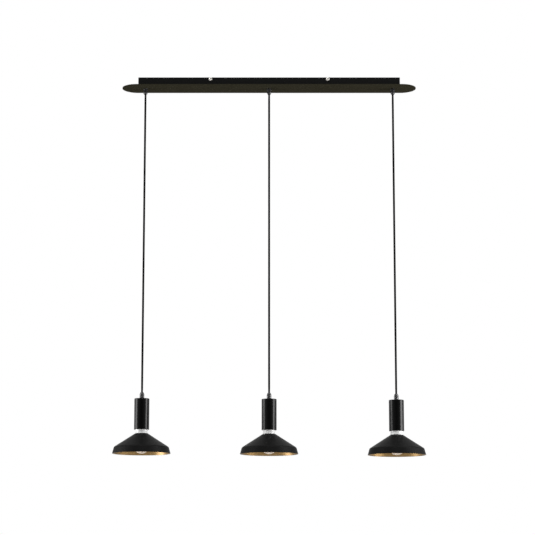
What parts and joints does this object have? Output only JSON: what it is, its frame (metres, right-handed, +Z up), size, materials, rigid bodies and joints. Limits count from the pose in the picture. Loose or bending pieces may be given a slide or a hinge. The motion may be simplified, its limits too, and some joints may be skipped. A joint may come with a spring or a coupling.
{
  "type": "pendant light",
  "caption": "Linear pendant light: flat shallow shades with gold insides under cylindrical lampholder sleeves, hung on cords in a row from one long ceiling canopy.",
  "frame": {"origin": "on the ceiling plane, at the middle of the back of the ceiling bracket, above the middle pendant", "axes": "+Z up into the ceiling, X along the canopy, -Y towards the viewer of the picture"},
  "size_m": [0.828, 0.154, 1.021],
  "materials": {
    "zinc_steel": "zinc-plated steel",
    "black_powder_coat": "matt black powder coat",
    "black_satin_plate": "satin black lacquer",
    "nickel": "nickel-plated",
    "grip_plastic": "smoky black moulded plastic",
    "ivory_plastic": "moulded nylon",
    "brass": "bare brass",
    "cord_cover": "black braided cover",
    "brown_lead": "PVC insulation",
    "blue_lead": "PVC insulation",
    "earth_lead": "striped PVC insulation",
    "gloss_black": "gloss black lacquer",
    "holder_black": "moulded thermoset",
    "white_insulator": "fired white insulator",
    "opal_acrylic": "satin opal acrylic",
    "shade_black_gold": "satin black outside, gold lacquer inside",
    "opal_glass": "opal, satin"
  },
  "bodies": {
    "canopy": {"ceiling_bracket": "zinc_steel", "canopy_tray": "black_powder_coat", "canopy_plate": "black_satin_plate", "side_screws": "nickel", "canopy_grips": "grip_plastic", "canopy_tubes": "zinc_steel", "grip_nuts": "zinc_steel", "terminal_block": "ivory_plastic", "terminal_screws": "brass", "earth_screw": "zinc_steel", "cord_tails": "cord_cover", "live_leads": "brown_lead", "neutral_leads": "blue_lead", "earth_leads": "earth_lead"},
    "cord_1": {"cord_1": "cord_cover"},
    "head_1": {"sleeve_grip_1": "grip_plastic", "sleeve_1": "gloss_black", "threaded_tube_1": "zinc_steel", "lock_nuts_1": "zinc_steel", "holder_cap_1": "holder_black", "holder_skirt_1": "holder_black", "holder_insert_1": "white_insulator", "holder_contacts_1": "brass", "holder_leads_1": "cord_cover", "neck_ring_1": "opal_acrylic", "shade_1": "shade_black_gold", "shade_ring_1": "holder_black"},
    "bulb_1": {"bulb_glass_1": "opal_glass", "bulb_cap_1": "nickel"},
    "cord_2": {"cord_2": "cord_cover"},
    "head_2": {"sleeve_grip_2": "grip_plastic", "sleeve_2": "gloss_black", "threaded_tube_2": "zinc_steel", "lock_nuts_2": "zinc_steel", "holder_cap_2": "holder_black", "holder_skirt_2": "holder_black", "holder_insert_2": "white_insulator", "holder_contacts_2": "brass", "holder_leads_2": "cord_cover", "neck_ring_2": "opal_acrylic", "shade_2": "shade_black_gold", "shade_ring_2": "holder_black"},
    "bulb_2": {"bulb_glass_2": "opal_glass", "bulb_cap_2": "nickel"},
    "cord_3": {"cord_3": "cord_cover"},
    "head_3": {"sleeve_grip_3": "grip_plastic", "sleeve_3": "gloss_black", "threaded_tube_3": "zinc_steel", "lock_nuts_3": "zinc_steel", "holder_cap_3": "holder_black", "holder_skirt_3": "holder_black", "holder_insert_3": "white_insulator", "holder_contacts_3": "brass", "holder_leads_3": "cord_cover", "neck_ring_3": "opal_acrylic", "shade_3": "shade_black_gold", "shade_ring_3": "holder_black"},
    "bulb_3": {"bulb_glass_3": "opal_glass", "bulb_cap_3": "nickel"}
  },
  "joints": [
    {"name": "pendant_1_swing", "type": "hinge", "parent": "canopy", "child": "cord_1", "pos_m": [-0.337, 0, -0.0397], "axis": [1, 0, 0], "range_deg": [-20, 20]},
    {"name": "head_1_tilt", "type": "hinge", "parent": "cord_1", "child": "head_1", "pos_m": [-0.337, 0, -0.8558], "axis": [0, 1, 0], "range_deg": [-20, 20]},
    {"name": "bulb_1_out", "type": "slide", "parent": "head_1", "child": "bulb_1", "axis": [0, 0, -1], "range_m": [0, 0.09]},
    {"name": "pendant_2_swing", "type": "hinge", "parent": "canopy", "child": "cord_2", "pos_m": [0, 0, -0.0397], "axis": [1, 0, 0], "range_deg": [-20, 20]},
    {"name": "head_2_tilt", "type": "hinge", "parent": "cord_2", "child": "head_2", "pos_m": [0, 0, -0.8573], "axis": [0, 1, 0], "range_deg": [-20, 20]},
    {"name": "bulb_2_out", "type": "slide", "parent": "head_2", "child": "bulb_2", "axis": [0, 0, -1], "range_m": [0, 0.09]},
    {"name": "pendant_3_swing", "type": "hinge", "parent": "canopy", "child": "cord_3", "pos_m": [0.337, 0, -0.0397], "axis": [1, 0, 0], "range_deg": [-20, 20]},
    {"name": "head_3_tilt", "type": "hinge", "parent": "cord_3", "child": "head_3", "pos_m": [0.337, 0, -0.8598], "axis": [0, 1, 0], "range_deg": [-20, 20]},
    {"name": "bulb_3_out", "type": "slide", "parent": "head_3", "child": "bulb_3", "axis": [0, 0, -1], "range_m": [0, 0.09]}
  ]
}
